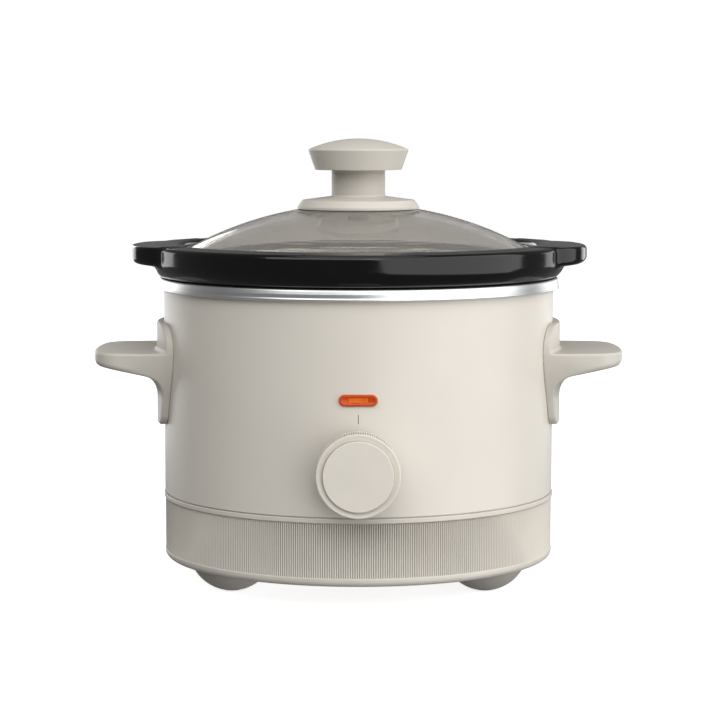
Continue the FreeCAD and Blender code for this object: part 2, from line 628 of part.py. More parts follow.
def rims(solid, beyond):
    """Edges where one upright wall meets a face that isn't upright, past X = beyond."""
    def upright(face):
        u_low, u_high, v_low, v_high = face.ParameterRange
        return abs(face.normalAt((u_low + u_high) / 2.0, (v_low + v_high) / 2.0).z) < 0.01

    return [e for e in solid.Edges if e.BoundBox.XMax > beyond
            and sum(upright(f) for f in solid.ancestorsOfType(e, Part.Face)) == 1]


# Lid --------------------------------------------------------------------------------------------
def glass_top(r):
    return sphere_height(r, GLASS_SPHERE_R, GLASS_SPHERE_Z)


def glass_under(r):
    return sphere_height(r, GLASS_SPHERE_R - GLASS_T, GLASS_SPHERE_Z)


def lid_glass():
    hole, edge = 3.2, GLASS_EDGE_R
    glass = turned([
        (hole, glass_top(hole)), (edge / 2.0, glass_top(edge / 2.0), "arc"), (edge, glass_top(edge)),
        (edge, glass_under(edge)), (edge / 2.0, glass_under(edge / 2.0), "arc"),
        (hole, glass_under(hole)),
    ])
    keep("lid_glass", glass)


def lid_band():
    """A stainless channel crimped round the glass's edge, with an inner skirt down to the ledge."""
    t, slack, leg = BAND_T, 0.06, BAND_LEG_R
    out, inside, edge = BAND_R, BAND_R - BAND_T, GLASS_EDGE_R
    low, skirt = LEDGE_Z + CLEAR, BAND_SKIRT_R
    band = turned([
        (leg, glass_top(leg) + slack), (leg, glass_top(leg) + t),
        (edge - 0.6, glass_top(edge - 0.6) + t + 0.1),
        (out - 0.25, glass_top(edge) - 0.3, "arc"), (out, glass_top(edge) - 1.6),
        (out, low + 1.2), (out - 0.35, low + 0.35, "arc"), (out - 1.2, low),
        (skirt + 0.9, low), (skirt + 0.26, low + 0.26, "arc"), (skirt, low + 0.9),
        (skirt, glass_under(skirt) - slack), (skirt + t, glass_under(skirt + t) - slack),
        (skirt + t, low + t), (inside, low + t),
        (inside, glass_top(edge) - 0.9), (edge, glass_top(edge) + slack),
    ])
    keep("lid_band", band)


def lid_knob():
    """Collar and neck below, mushroom cap above, held to the glass by one screw from inside."""
    seat, toe = GASKET_T + 0.02, COLLAR_R - 0.6
    collar = turned([
        (2.3, glass_top(0) + 0.1), (COLLAR_BORE_R, glass_top(0) + 0.1), (COLLAR_BORE_R, 184.9),
        (25.8, 184.2), (26.8, glass_top(26.8) + seat), (toe, glass_top(toe) + seat),
        (COLLAR_R, 182.0, "arc"), (COLLAR_R - 0.1, 182.6),
        (COLLAR_BRIM_R + 0.7, COLLAR_BRIM_Z - 0.6), (COLLAR_BRIM_R, COLLAR_BRIM_Z, "arc"),
        (COLLAR_BRIM_R - 1.2, COLLAR_BRIM_Z + 0.4),
        (NECK_R + 1.0, COLLAR_TOP), (NECK_R + 0.3, COLLAR_TOP + 0.3, "arc"),
        (NECK_R, COLLAR_TOP + 1.0),
        (NECK_R, CAP_BOTTOM - 0.05), (8.0, CAP_BOTTOM - 0.05), (8.0, CAP_BOTTOM + 3.0),
        (2.3, CAP_BOTTOM + 3.0),
    ])
    keep("knob_collar", collar)
    top_ball = (CAP_R ** 2 + (CAP_TOP - CAP_EDGE_Z) ** 2) / (2 * (CAP_TOP - CAP_EDGE_Z))
    crown = CAP_TOP - top_ball
    cap = turned([
        (0, CAP_BOTTOM + 9.0), (3.6, CAP_BOTTOM + 9.0), (3.6, CAP_BOTTOM + 3.1),
        (8.1, CAP_BOTTOM + 3.1), (8.1, CAP_BOTTOM),
        (CAP_LOW_R - 1.0, CAP_BOTTOM), (CAP_LOW_R - 0.25, CAP_BOTTOM + 0.25, "arc"),
        (CAP_LOW_R + 0.25, CAP_BOTTOM + 1.0),
        (CAP_R - 0.35, CAP_EDGE_Z - 0.9), (CAP_R - 0.1, CAP_EDGE_Z - 0.1, "arc"),
        (CAP_R - 0.9, sphere_height(CAP_R - 0.9, top_ball, crown)),
        (CAP_R / 2, sphere_height(CAP_R / 2, top_ball, crown), "arc"), (0, CAP_TOP),
    ])
    keep("knob_cap", cap)
    near, far = GASKET_R
    gasket = turned([
        (near, glass_top(near) + 0.02), (near, glass_top(near) + GASKET_T),
        (far, glass_top(far) + GASKET_T), (far, glass_top(far) + 0.02),
    ])
    keep("knob_gasket", gasket)
    half = WASHER_R / 2.0
    washer = turned([
        (2.3, WASHER_LOW), (WASHER_R - 0.6, WASHER_LOW), (WASHER_R, WASHER_LOW + 0.5),
        (WASHER_R, glass_under(WASHER_R) - 0.03),
        (half, glass_under(half) - 0.03, "arc"), (2.3, glass_under(2.3) - 0.03),
    ])
    keep("knob_washer", washer)
    keep("knob_screw", pan_screw(5.2, 2.6, LID_SCREW_R, V(0, 0, WASHER_LOW), V(0, 0, 208.0)))
    insert = ring(3.5, LID_SCREW_R + 0.02, CAP_BOTTOM + 3.2, CAP_BOTTOM + 8.8)
    keep("knob_insert", insert)


# Wiring inside the base ---------------------------------------------------------------------------
def wiring():
    """Two closed-end connectors just inside the gland, and a lead from each to the switch."""
    wire, mid_r, switch_y = 1.1, 86.5, -86.0
    crimps = []
    for side, z in ((-1, 52.0), (1, 68.0)):
        crimps.append(rod(2.6, V(side * 12.0, 86.0, z), V(side * 25.2, 83.0, z)))
    keep("crimp_connectors", *crimps)
    tab_low = DIAL_Z - SWITCH_SIZE / 2.0 - TERMINAL_L - 0.05
    live = [V(-25.2, 83.0, 52.0), V(-33.0, 81.23, 52.0)]
    for angle, z in ((124, 51), (140, 50), (160, 51.5), (180, 50), (202, 51), (224, 49), (244, 46)):
        live.append(polar(mid_r, angle, z))
    live += [V(-7.5, switch_y, 39.0), V(-7.5, switch_y, tab_low)]
    keep("live_lead", lead(live, wire))
    neutral = [V(25.2, 83.0, 68.0), V(33.0, 81.23, 68.0)]
    for angle, z in ((54, 74), (40, 77), (25, 78), (10, 77), (354, 74), (338, 69), (322, 63),
                     (306, 55), (290, 46)):
        neutral.append(polar(mid_r, angle, z))
    neutral += [V(7.5, switch_y, 38.0), V(7.5, switch_y, tab_low)]
    keep("neutral_lead", lead(neutral, wire))


def export():
    os.makedirs(OUT, exist_ok=True)
    for stale in os.listdir(OUT):
        if stale.endswith(".step"):
            os.remove(os.path.join(OUT, stale))
    for name, shape in sorted(made.items()):
        bad = [s for s in shape.Solids if not s.isValid() or s.Volume <= 0]
        note = "  BAD" if bad or not shape.Solids else ""
        box = shape.BoundBox
        print(f"{name:22s} solids {len(shape.Solids)}  {shape.Volume / 1000:8.2f} ml  "
              f"z {box.ZMin:7.2f} {box.ZMax:7.2f}  y {box.YMin:8.2f} {box.YMax:8.2f}{note}")
        shape.exportStep(os.path.join(OUT, name + ".step"))


for build in (base_pan, feet, outer_shell, heating_liner, tie_bolt, heater, thermal_fuse,
              cord_gland, pilot_light, rotary_switch, dial, side_handles, crock, lid_glass,
              lid_band, lid_knob, wiring):
    build()
export()
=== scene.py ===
"""Small round slow cooker: the looks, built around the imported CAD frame.

Lengths in the helpers below are millimetres from the cooker's own vertical axis; skin() turns
them into metres in the row frame. Places come from the CAD nodes' boxes.
"""
import json
import math

import bmesh
import bpy
import numpy as np
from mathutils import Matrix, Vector


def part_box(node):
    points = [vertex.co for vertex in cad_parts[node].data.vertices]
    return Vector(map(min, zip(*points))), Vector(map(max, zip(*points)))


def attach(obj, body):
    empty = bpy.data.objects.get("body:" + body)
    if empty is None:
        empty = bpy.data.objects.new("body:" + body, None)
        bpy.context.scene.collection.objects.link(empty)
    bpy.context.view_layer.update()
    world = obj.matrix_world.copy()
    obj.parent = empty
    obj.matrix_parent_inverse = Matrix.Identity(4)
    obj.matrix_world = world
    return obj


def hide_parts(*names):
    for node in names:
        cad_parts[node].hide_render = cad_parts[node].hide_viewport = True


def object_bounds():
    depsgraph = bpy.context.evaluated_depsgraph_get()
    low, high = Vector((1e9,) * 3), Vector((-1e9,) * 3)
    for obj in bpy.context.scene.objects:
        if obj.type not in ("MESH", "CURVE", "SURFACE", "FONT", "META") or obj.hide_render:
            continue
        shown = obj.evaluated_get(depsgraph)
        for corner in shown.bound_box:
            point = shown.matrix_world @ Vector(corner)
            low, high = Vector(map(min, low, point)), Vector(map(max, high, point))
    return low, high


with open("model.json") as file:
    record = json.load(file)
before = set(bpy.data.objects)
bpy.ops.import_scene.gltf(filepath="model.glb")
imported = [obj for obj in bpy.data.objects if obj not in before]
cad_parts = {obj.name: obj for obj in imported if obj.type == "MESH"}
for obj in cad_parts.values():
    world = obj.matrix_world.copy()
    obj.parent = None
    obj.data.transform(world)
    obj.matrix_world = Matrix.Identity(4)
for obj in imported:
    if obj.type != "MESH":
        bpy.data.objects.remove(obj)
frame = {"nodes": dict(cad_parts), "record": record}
cad_low, cad_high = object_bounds()
shell_low, shell_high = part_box("outer_shell")
AXIS_Y = (shell_low.y + shell_high.y) / 2
MM = 0.001
TURN = 2 * math.pi

# Segments round the turned pieces
BODY_SEGMENTS = 384
KNOB_SEGMENTS = 240
WASHER_SEGMENTS = 160
FOOT_SEGMENTS = 120
PAD_SEGMENTS = 96


def span(node):
    """A CAD node's box in millimetres about the cooker's axis."""
    low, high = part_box(node)
    shift = Vector((0, AXIS_Y, 0))
    return (low - shift) / MM, (high - shift) / MM


# Profiles ---------------------------------------------------------------------------------------
def rounded(points, closed=True, steps=6):
    """An outline with its corners rounded. A point is (a, b) or (a, b, radius)."""
    out = []
    count = len(points)
    for i, point in enumerate(points):
        here = Vector(point[:2])
        radius = point[2] if len(point) > 2 else 0
        if not radius or (not closed and i in (0, count - 1)):
            out.append(tuple(here))
            continue
        to_last = (Vector(points[i - 1][:2]) - here).normalized()
        to_next = (Vector(points[(i + 1) % count][:2]) - here).normalized()
        half = to_last.angle(to_next) / 2
        centre = here + (to_last + to_next).normalized() * (radius / math.sin(half))
        start = here + to_last * (radius / math.tan(half)) - centre
        sweep = start.angle_signed(here + to_next * (radius / math.tan(half)) - centre)
        for k in range(steps + 1):
            turn = -sweep * k / steps
            c, s = math.cos(turn), math.sin(turn)
            out.append((centre.x + c * start.x - s * start.y,
                        centre.y + s * start.x + c * start.y))
    return out


def supported(path, closed=True, reach=0.12):
    """The path with a point close to each end of every long run, so that it shades flat."""
    out = []
    runs = len(path) if closed else len(path) - 1
    for i in range(runs):
        a, b = Vector(path[i]), Vector(path[(i + 1) % len(path)])
        length = (b - a).length
        out.append(tuple(a))
        if length > 5 * reach:
            step = (b - a) / length * reach
            out += [tuple(a + step), tuple(b - step)]
    if not closed:
        out.append(tuple(path[-1]))
    return out


def arc_height(r, radius, centre):
    """Height at radius r of a sphere about the axis."""
    return centre + math.sqrt(radius * radius - r * r)


def dome(radius, centre, start, end, steps=14):
    """Points on a sphere about the axis, from one radius to another."""
    radii = [start + (end - start) * k / steps for k in range(steps + 1)]
    return [(r, arc_height(r, radius, centre)) for r in radii]


# Meshes -----------------------------------------------------------------------------------------
def make(name, verts, faces):
    """A smooth mesh object from vertices in millimetres about the axis."""
    mesh = bpy.data.meshes.new(name)
    verts = np.asarray(verts, float) * MM + np.array([0, AXIS_Y, 0])
    mesh.from_pydata(verts.tolist(), [], [list(map(int, f)) for f in faces])
    work = bmesh.new()
    work.from_mesh(mesh)
    bmesh.ops.recalc_face_normals(work, faces=work.faces)
    work.to_mesh(mesh)
    work.free()
    mesh.polygons.foreach_set("use_smooth", [True] * len(mesh.polygons))
    thing = bpy.data.objects.new(name, mesh)
    bpy.context.scene.collection.objects.link(thing)
    return thing


def skin(name, rings, closed=True):
    """A surface through rings of points; a ring of one point is a pole."""
    starts = np.cumsum([0] + [len(r) for r in rings])
    faces = []
    pairs = range(len(rings)) if closed else range(len(rings) - 1)
    for i in pairs:
        j = (i + 1) % len(rings)
        a, b = starts[i], starts[j]
        na, nb = len(rings[i]), len(rings[j])
        n = max(na, nb)
        for k in range(n):
            m = (k + 1) % n
            if na == nb:
                faces.append((a + k, a + m, b + m, b + k))
            elif na == 1:
                faces.append((a, b + m, b + k))
            else:
                faces.append((a + k, a + m, b))
    return make(name, np.vstack(rings), faces)


def upright(r, height, angles):
    """A ring about the cooker's axis."""
    r = np.broadcast_to(r, angles.shape)
    return np.stack([r * np.cos(angles), r * np.sin(angles), np.full(angles.shape, height)], 1)


def lathe(name, path, segments=288, closed=True, ring=upright, wave=None):
    """A turned piece from (radius, height) points. wave(radius, height, angles) ripples it."""
    angles = np.arange(segments) * TURN / segments
    rings = []
    for r, h in supported(path, closed):
        if abs(r) < 1e-6:
            rings.append(ring(0.0, h, angles[:1]))
        else:
            rings.append(ring(wave(r, h, angles) if wave else r, h, angles))
    return skin(name, rings, closed)


def nets(field, low, high, step):
    """Vertices and faces of the surface where field(x, y, z) is zero, found on a grid."""
    axes = [np.arange(a, b + step, step) for a, b in zip(low, high)]
    value = field(*np.meshgrid(*axes, indexing="ij"))
    inside = value < 0
    shape = [n - 1 for n in value.shape]
    total = np.zeros(shape + [3])
    count = np.zeros(shape)
    origin = np.array([a[0] for a in axes])
    for axis in range(3):
        others = [a for a in range(3) if a != axis]
        for p in (0, 1):
            for q in (0, 1):
                corner = [0, 0, 0]
                corner[others[0]], corner[others[1]] = p, q
                near = tuple(slice(c, c + n) for c, n in zip(corner, shape))
                corner[axis] = 1
                far = tuple(slice(c, c + n) for c, n in zip(corner, shape))
                crossed = inside[near] != inside[far]
                a, b = value[near], value[far]
                t = np.where(crossed, a / np.where(crossed, a - b, 1.0), 0.0)
                corner[axis] = 0
                spot = np.zeros(shape + [3]) + np.array(corner, float)
                spot[..., axis] += t
                total += spot * crossed[..., None]
                count += crossed
    cells = np.argwhere(count > 0)
    index = np.full(shape, -1)
    index[tuple(cells.T)] = np.arange(len(cells))
    verts = origin + step * (cells + total[tuple(cells.T)] / count[tuple(cells.T)][:, None])
    faces = []
    for axis in range(3):
        b, c = [(axis + 1) % 3, (axis + 2) % 3]
        near = [slice(1, n) for n in shape]
        near[axis] = slice(0, shape[axis])
        far = list(near)
        far[axis] = slice(1, shape[axis] + 1)
        crossed = np.argwhere(inside[tuple(near)] != inside[tuple(far)])
        base = crossed + np.array([0 if a == axis else 1 for a in range(3)])
        quad = []
        for db, dc in ((1, 1), (0, 1), (0, 0), (1, 0)):
            cell = base.copy()
            cell[:, b] -= db
            cell[:, c] -= dc
            quad.append(index[tuple(cell.T)])
        faces.append(np.stack(quad, 1))
    passes, h, least, longest = 3, 0.01, 0.2, 0.5 * step
    for _ in range(passes):
        x, y, z = verts.T
        gap = field(x, y, z)
        slope = np.stack([field(x + h, y, z) - field(x - h, y, z),
                          field(x, y + h, z) - field(x, y - h, z),
                          field(x, y, z + h) - field(x, y, z - h)], 1) / (2 * h)
        move = slope * (gap / np.maximum((slope ** 2).sum(1), least))[:, None]
        length = np.linalg.norm(move, axis=1, keepdims=True)
        verts = verts - move * np.minimum(1.0, longest / np.maximum(length, 1e-9))
    return verts, np.vstack(faces)


# Materials --------------------------------------------------------------------------------------
def material(name, colour, rough, metallic=0.0, vary=0.06, vary_scale=60.0, rough_vary=0.06,
             grain=1500.0, grain_depth=0.00002, grain_strength=0.25, stretch=(1, 1, 1),
             coat=0.0, coat_rough=0.1, specular=0.5, ior=1.5, transmission=0.0, glow=None,
             subsurface=0.0, waviness=0.0):
    """A surface whose colour, roughness and fine relief all vary with noise."""
    mat = bpy.data.materials.new(name)
    mat.use_nodes = True
    nodes, links = mat.node_tree.nodes, mat.node_tree.links
    shader = nodes["Principled BSDF"]
    for socket, value in (("Metallic", metallic), ("Coat Weight", coat),
                          ("Coat Roughness", coat_rough), ("Specular IOR Level", specular),
                          ("IOR", ior), ("Transmission Weight", transmission),
                          ("Subsurface Weight", subsurface)):
        shader.inputs[socket].default_value = value
    if subsurface:
        shader.inputs["Subsurface Scale"].default_value = 0.002
    if glow:
        shader.inputs["Emission Color"].default_value = (*glow[0], 1)
        shader.inputs["Emission Strength"].default_value = glow[1]
    place = nodes.new("ShaderNodeTexCoord")
    mapping = nodes.new("ShaderNodeMapping")
    mapping.inputs["Scale"].default_value = stretch
    links.new(place.outputs["Object"], mapping.inputs["Vector"])

    def noise(scale, detail, stretched=True):
        node = nodes.new("ShaderNodeTexNoise")
        node.inputs["Scale"].default_value = scale
        node.inputs["Detail"].default_value = detail
        source = mapping.outputs["Vector"] if stretched else place.outputs["Object"]
        links.new(source, node.inputs["Vector"])
        return node

    mottle = noise(vary_scale, 4.0, False)
    ramp = nodes.new("ShaderNodeValToRGB")
    ramp.color_ramp.elements[0].position = 0.3
    ramp.color_ramp.elements[1].position = 0.7
    ramp.color_ramp.elements[0].color = [c * (1 - vary) for c in colour] + [1]
    ramp.color_ramp.elements[1].color = [min(1, c * (1 + vary)) for c in colour] + [1]
    links.new(mottle.outputs["Fac"], ramp.inputs["Fac"])
    links.new(ramp.outputs["Color"], shader.inputs["Base Color"])
    fine = noise(grain, 3.0)
    spread = nodes.new("ShaderNodeMapRange")
    spread.inputs["To Min"].default_value = max(0.0, rough - rough_vary)
    spread.inputs["To Max"].default_value = min(1.0, rough + rough_vary)
    links.new(fine.outputs["Fac"], spread.inputs["Value"])
    links.new(spread.outputs["Result"], shader.inputs["Roughness"])
    bump = nodes.new("ShaderNodeBump")
    bump.inputs["Strength"].default_value = grain_strength
    bump.inputs["Distance"].default_value = grain_depth
    links.new(fine.outputs["Fac"], bump.inputs["Height"])
    if waviness:
        broad = noise(90.0, 2.0, False)
        sway = nodes.new("ShaderNodeBump")
        sway.inputs["Strength"].default_value = 1.0
        sway.inputs["Distance"].default_value = waviness
        links.new(broad.outputs["Fac"], sway.inputs["Height"])
        links.new(sway.outputs["Normal"], bump.inputs["Normal"])
    links.new(bump.outputs["Normal"], shader.inputs["Normal"])
    return mat


OAT = (0.66, 0.62, 0.555)


def oat(share):
    """The oat colour of the body, lighter or darker by a factor."""
    return tuple(c * share for c in OAT)


plastic = dict(grain=2600.0, grain_depth=0.00003, grain_strength=0.35, vary=0.03, vary_scale=45.0,
               specular=0.35)
brushed = dict(metallic=1.0, vary=0.04, grain=260.0, stretch=(0.6, 0.6, 26.0), grain_depth=0.00001)
LOOK = {
    "moulded_base": material("base_plastic", oat(0.95), 0.42, **plastic),
    "foot_plastic": material("foot_plastic", oat(0.72), 0.48, **plastic),
    "pad_rubber": material("foot_rubber", (0.030, 0.030, 0.030), 0.75, grain=900.0),
    "zinc_steel": material("zinc_plate", (0.60, 0.61, 0.60), 0.32, metallic=1.0, vary=0.08,
                           vary_scale=400.0),
    "shell_paint": material("shell_paint", oat(1.03), 0.36, vary=0.02, vary_scale=22.0,
                            grain=1400.0, grain_depth=0.00002, grain_strength=0.3, specular=0.4),
    "liner_aluminium": material("liner_metal", (0.74, 0.75, 0.75), 0.33, rough_vary=0.05,
                                **brushed),
    "heater_steel": material("heater_steel", (0.42, 0.41, 0.39), 0.42, rough_vary=0.1, **brushed),
    "fuse_case": material("fuse_case", (0.58, 0.47, 0.26), 0.35, metallic=1.0, vary=0.1),
    "amber_lens": material("amber_lens", (0.50, 0.062, 0.004), 0.26, vary=0.12, vary_scale=260.0,
                           coat=0.1, coat_rough=0.08, subsurface=0.15, specular=0.25,
                           glow=((1.0, 0.13, 0.005), 0.05)),
    "lamp_glass": material("lamp_glass", (0.95, 0.85, 0.75), 0.05, transmission=1.0, vary=0.03),
    "dark_plastic": material("dark_plastic", (0.030, 0.030, 0.031), 0.45, **plastic),
    "brass_tabs": material("brass", (0.70, 0.52, 0.24), 0.30, metallic=1.0, vary=0.1),
    "dial_plastic": material("dial_plastic", oat(1.04), 0.42, **plastic),
    "white_plastic": material("white_plastic", (0.70, 0.69, 0.65), 0.40, **plastic),
    "handle_plastic": material("handle_plastic", oat(0.87), 0.42, **plastic),
    "stoneware_glaze": material("black_glaze", (0.002, 0.002, 0.0022), 0.13, vary=0.3,
                                vary_scale=120.0, rough_vary=0.03, grain=500.0, specular=0.42,
                                waviness=0.0001, grain_strength=0.1),
    "lid_glass": material("smoked_glass", (0.615, 0.59, 0.555), 0.02, transmission=0.86,
                          vary=0.01, rough_vary=0.01, ior=1.22, grain_strength=0.02),
    "stainless_band": material("stainless_band", (0.82, 0.82, 0.82), 0.26, rough_vary=0.05,
                               grain_strength=0.06, **brushed),
    "knob_plastic": material("knob_plastic", oat(0.91), 0.42, **plastic),
    "gasket_rubber": material("gasket_rubber", (0.016, 0.016, 0.016), 0.7, grain=900.0),
    "washer_plastic": material("washer_plastic", oat(0.8), 0.45, **plastic),
    "screw_dark": material("dark_screw", (0.16, 0.16, 0.16), 0.38, metallic=1.0, vary=0.15,
                           vary_scale=500.0),
    "lead_red": material("red_insulation", (0.42, 0.028, 0.02), 0.35, grain=1200.0),
    "lead_white": material("white_insulation", (0.66, 0.65, 0.62), 0.35, grain=1200.0),
}
# Painted shade: a darker plastic for faces deep in grooves, standing in for the shadow in them.
groove_painted_shade = material("groove_painted_shade_plastic", oat(0.34), 0.6, **plastic)
# Painted shadow: a darker plastic for the knob's neck, standing in for the shadow under the cap.
neck_painted_shadow = material("neck_painted_shadow_plastic", oat(0.72), 0.46, **plastic)
print_ink = material("printed_mark", (0.10, 0.096, 0.09), 0.5, vary=0.25, vary_scale=900.0)
window_amber = material("amber_window", (0.66, 0.12, 0.008), 0.26, vary=0.14, vary_scale=320.0,
                        coat=0.1, coat_rough=0.08, specular=0.25, glow=((1.0, 0.16, 0.01), 0.10))

SLOT = {p["node"]: p["material_slot"] for p in frame["record"]["subparts"]}
BODY = {n: b for b, nodes in frame["record"]["behaviour"]["bodies"].items() for n in nodes}
for node, thing in frame["nodes"].items():
    thing.data.materials.clear()
    thing.data.materials.append(LOOK[SLOT[node]])


def shade_faces(thing, inside, look):
    """Gives the faces whose centre is inside a groove or on a neck a darker material: painted
    shade standing in for the shadow there.
    """
    thing.data.materials.append(look)
    centres = np.zeros(len(thing.data.polygons) * 3)
    thing.data.polygons.foreach_get("center", centres)
    centres = (centres.reshape(-1, 3) - np.array([0, AXIS_Y, 0])) / MM
    thing.data.polygons.foreach_set("material_index", inside(*centres.T).astype(int))


def dress(thing, node, stands_for=True, look=None):
    """Gives a piece its node's finish and body, and hides the node."""
    thing.data.materials.append(look or LOOK[SLOT[node]])
    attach(thing, BODY[node])
    if stands_for:
        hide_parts(node)
    return thing


# Base -------------------------------------------------------------------------------------------
FLUTES = 558
FLUTE_DEPTH = 0.8
FLUTE_POINTS = 6            # points of the wall to a flute
FLUTE_PAINTED_SHADE = 0.3           # how much of a flute's depth gets the painted shade, a darker colour standing in for the groove's shadow
FLOOR_T = 2.4
BAND_INSET = 0.22           # the fluted band, inside the plain wall


def outer_shell():
    """The painted wall."""
    low, high = span("outer_shell")
    r, thick = high.x, 0.6
    path = rounded([(r - thick, low.z), (r, low.z, 0.28), (r, high.z), (r - thick, high.z)])
    dress(lathe("outer_shell", path, BODY_SEGMENTS), "outer_shell")


def base_pan():
    """The side wall with its fine upright flutes; the floor is a piece of its own."""
    low, high = span("base_pan")
    lip_r = high.x
    wall_r = lip_r - 0.35
    lip_top, lip_h = high.z - 4.25, 2.2
    inner = wall_r - FLOOR_T
    band_r = wall_r - BAND_INSET
    band_low, band_high = low.z + 3.8, lip_top - lip_h
    path = rounded([
        (inner - 1.0, low.z), (wall_r, low.z, 3.0), (wall_r, band_low, 0.25),
        (band_r, band_low + 0.2, 0.15), (band_r, band_high - 0.4, 0.15),
        (lip_r, band_high + 0.2, 0.3), (lip_r, lip_top, 0.4), (wall_r - 0.8, lip_top),
        (wall_r - 0.8, high.z, 0.2), (inner, high.z, 0.2), (inner, low.z + FLOOR_T),
        (inner - 1.0, low.z + FLOOR_T),
    ])

    def wave(r, h, angles):
        if r < wall_r - 0.5 or h < band_low + 0.1 or h > band_high - 0.05:
            return r
        fade = min(1.0, (h - band_low - 0.1) / 0.5, (band_high - h) / 0.1)
        ridge = np.sin(angles * FLUTES / 2) ** 2
        return r + FLUTE_DEPTH * max(0.0, fade) * (ridge - 1.0)

    wall = dress(lathe("base_wall", path, FLUTES * FLUTE_POINTS, wave=wave), "base_pan")

    def inside(x, y, z):
        deep = np.sin(np.arctan2(y, x) * FLUTES / 2) ** 2 < FLUTE_PAINTED_SHADE
        outer = np.hypot(x, y) > wall_r - 1.2
        return deep & outer & (z > band_low + 0.5) & (z < band_high - 0.4)

    # Painted shade: the faces deep in the flutes get a darker colour standing in for the shadow in
    # the grooves.
    shade_faces(wall, inside, groove_painted_shade)


def base_floor():
    """The pan's floor: vent slots in three fans, a boss round the tie bolt."""
    low, _ = span("base_pan")
    z, floor_r = low.z, 91.7
    well_r, bore_r, well_top, boss_top = 8.0, 2.8, low.z + 6, low.z + 26
    path = rounded([
        (bore_r, well_top), (well_r, well_top), (well_r, z, 0.5), (floor_r, z),
        (floor_r, z + FLOOR_T), (well_r + 2.0, z + FLOOR_T, 1.0), (well_r + 2.0, boss_top, 0.6),
        (well_r - 1.0, boss_top, 0.6), (well_r - 1.0, well_top + FLOOR_T),
        (bore_r, well_top + FLOOR_T),
    ])
    floor = dress(lathe("base_floor", path, KNOB_SEGMENTS), "base_pan", stands_for=False)
    slot_start, slot_end, slot_half, slot_pitch = 34, 58, 1.2, 9.0
    boxes, faces = [], []
    for fan in (30.0, 150.0, 270.0):
        for step in (-2, -1, 0, 1, 2):
            a = math.radians(fan + slot_pitch * step)
            along = np.array([math.cos(a), math.sin(a), 0])
            across = np.array([-math.sin(a), math.cos(a), 0]) * slot_half
            start = len(boxes)
            for h in (z - 1, z + FLOOR_T + 1):
                for r, s in ((slot_start, -1), (slot_end, -1), (slot_end, 1), (slot_start, 1)):
                    boxes.append(along * r + across * s + np.array([0, 0, h]))
            for f in ((0, 1, 2, 3), (7, 6, 5, 4), (0, 4, 5, 1), (1, 5, 6, 2), (2, 6, 7, 3),
                      (3, 7, 4, 0)):
                faces.append([start + i for i in f])
    cutter = make("slot_cutter", boxes, faces)
    cut = floor.modifiers.new("slots", "BOOLEAN")
    cut.object = cutter
    cut.operation = "DIFFERENCE"
    cut.solver = "EXACT"
    apply_modifiers(floor)
    bpy.data.objects.remove(cutter)
    flat_where_wide(floor)


def apply_modifiers(thing):
    """Leaves the thing's mesh as its modifiers make it."""
    graph = bpy.context.evaluated_depsgraph_get()
    made = bpy.data.meshes.new_from_object(thing.evaluated_get(graph))
    thing.modifiers.clear()
    thing.data = made


def flat_where_wide(thing):
    """Smooth shading, with hard edges where two faces meet at over 30 degrees."""
    work = bmesh.new()
    work.from_mesh(thing.data)
    for edge in work.edges:
        edge.smooth = not (edge.is_manifold and edge.calc_face_angle(0.0) > math.radians(30))
    for face in work.faces:
        face.smooth = True
    work.to_mesh(thing.data)
    work.free()


def feet():
    """Three half domes, each with a pad under it."""
    ball, ball_z, wall = 21.0, 20.6, 2.4
    screw_r, pad_seat_r, steps = 1.4, 3.7, 24
    for spot in ("front_left", "front_right", "rear"):
        low, high = span("foot_" + spot)
        centre = (low + high) / 2
        flat, top = low.z, high.z

        def around(r, h, angles):
            return upright(r, h, angles) + np.array([centre.x, centre.y, 0])

        rim_r = math.sqrt(ball ** 2 - (ball_z - top) ** 2)
        foot_r = math.sqrt(ball ** 2 - (ball_z - flat) ** 2)
        path = [(rim_r - wall, top)]
        for k in range(steps + 1):
            h = top + (flat - top) * k / steps
            path.append((math.sqrt(ball ** 2 - (ball_z - h) ** 2), h))
        path += [(foot_r - 0.4, flat), (pad_seat_r, flat), (pad_seat_r, flat + 1.4),
                 (screw_r, flat + 1.4), (screw_r, top)]
        dress(lathe("foot_" + spot, path, FOOT_SEGMENTS, ring=around), "foot_" + spot)
        pad_low, pad_high = span("foot_pad_" + spot)
        pad_r = math.sqrt(ball ** 2 - (ball_z - pad_low.z - 0.02) ** 2)
        plug_r, seam = pad_seat_r - 0.2, flat - 0.02
        pad = rounded([(0, pad_low.z), (pad_r, pad_low.z, 0.3), (foot_r - 0.1, seam, 0.1),
                       (plug_r, seam), (plug_r, pad_high.z), (0, pad_high.z)], closed=False)
        dress(lathe("foot_pad_" + spot, pad, PAD_SEGMENTS, closed=False, ring=around),
              "foot_pad_" + spot)


def heating_liner():
    """Drawn pot with a rolled rim that wraps over the top of the shell."""
    low, high = span("heating_liner")
    r, top = high.x, high.z
    bottom = top - 5.6
    curl_r = span("outer_shell")[1].x + 0.15
    t = 0.8
    inner_top, inner_low, corner = 79.2, 77.0, 14.0
    floor = low.z + t
    path = rounded([
        (0, floor), (inner_low, floor, corner), (inner_top, top, 0.8), (r - 0.8, top, 1.2),
        (r - 0.3, top - 2.4, 1.6), (r - 0.3, bottom + 1.5, 0.5), (r, bottom + 1.0, 0.3),
        (r, bottom + 0.4, 0.35), (r - 0.9, bottom + 0.05, 0.3), (curl_r, bottom, 0.2),
        (curl_r, bottom + 0.7, 0.2), (r - 1.3, bottom + 0.9, 0.3), (r - 1.0, top - t, 1.0),
        (inner_top + t, top - t, 0.5), (inner_low + t, floor - t, corner), (0, floor - t),
    ], closed=False, steps=8)
    dress(lathe("heating_liner", path, BODY_SEGMENTS, closed=False), "heating_liner")


